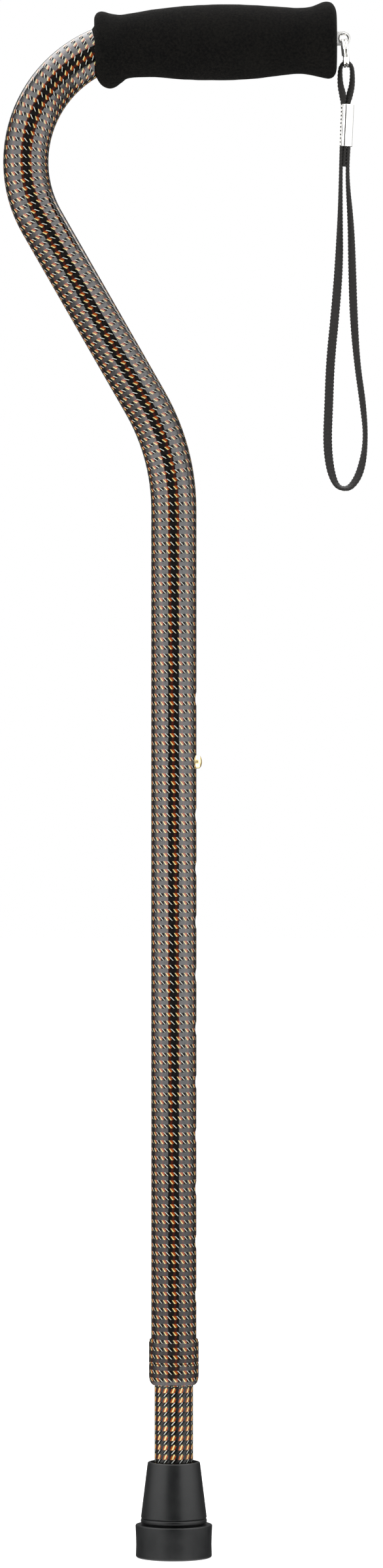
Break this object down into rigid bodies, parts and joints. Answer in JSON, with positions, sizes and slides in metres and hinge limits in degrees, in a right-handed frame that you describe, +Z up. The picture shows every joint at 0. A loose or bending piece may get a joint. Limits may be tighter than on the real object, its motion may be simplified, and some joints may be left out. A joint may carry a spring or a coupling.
{
  "type": "walking cane",
  "caption": "Offset-handle walking cane with a foam grip, wrist strap, telescopic shaft, push-button height lock, locking collar and single rubber tip.",
  "frame": {"origin": "centre of the hand grip, on the grip tube's axis straight above the shaft's axis", "axes": "+Z up the shaft, +X towards the handle's open end with the wrist strap, hook towards -X"},
  "size_m": [0.1768, 0.0374, 0.7557],
  "materials": {
    "printed_tube": "aluminium tube with a printed houndstooth film under clear lacquer",
    "printed_collar": "moulded collar with the same printed film under clear lacquer",
    "foam": "matte closed-cell foam rubber",
    "black_plastic": "moulded black polypropylene",
    "nylon": "natural moulded nylon",
    "plated_steel": "nickel-plated steel",
    "spring_steel": "oiled spring steel",
    "brass_plate": "polished brass",
    "braid": "flat woven polyester braid",
    "rubber": "moulded black rubber, satin"
  },
  "bodies": {
    "upper": {"upper_shaft": "printed_tube", "foam_grip": "foam", "handle_plug": "black_plastic", "strap_lug": "plated_steel", "lock_ferrule": "printed_collar"},
    "lower": {"lower_shaft": "printed_tube", "tube_bushing": "nylon", "snap_spring": "spring_steel", "rubber_tip": "rubber", "tip_washer": "spring_steel"},
    "button": {"snap_button": "brass_plate"},
    "collar_ring": {"grip_ring": "nylon"},
    "collar_nut": {"lock_nut": "printed_collar"},
    "strap_ring": {"split_ring": "plated_steel"},
    "strap": {"wrist_strap": "braid", "strap_ferrule": "plated_steel"}
  },
  "joints": [
    {"name": "height_slide", "type": "slide", "parent": "upper", "child": "lower", "axis": [0, 0, -1], "range_m": [-0.0306, 0.259], "deforming": ["snap_button"]},
    {"name": "button_press", "type": "slide", "parent": "lower", "child": "button", "axis": [-1, 0, 0], "range_m": [0, 0.0041], "stiffness_N_per_m": 2500, "springref_m": -0.001, "deforming": ["snap_spring"]},
    {"name": "clamp_travel", "type": "slide", "parent": "upper", "child": "collar_ring", "axis": [0, 0, -1], "range_m": [0, 0.002]},
    {"name": "nut_turn", "type": "hinge", "parent": "collar_ring", "child": "collar_nut", "pos_m": [0, 0, -0.6475], "axis": [0, 0, -1], "range_deg": [0, 360]},
    {"name": "ring_swing", "type": "hinge", "parent": "upper", "child": "strap_ring", "pos_m": [0.0825, 0, 0.0014], "axis": [0, -1, 0], "range_deg": [0, 100]},
    {"name": "strap_swing", "type": "hinge", "parent": "strap_ring", "child": "strap", "pos_m": [0.08324, 0, -0.00571], "axis": [0.9947, 0, 0.1028], "range_deg": [-45, 45]}
  ],
  "couplings": [
    {"joint": "nut_turn", "follows": "clamp_travel", "rad_per_m": 3141.6}
  ]
}
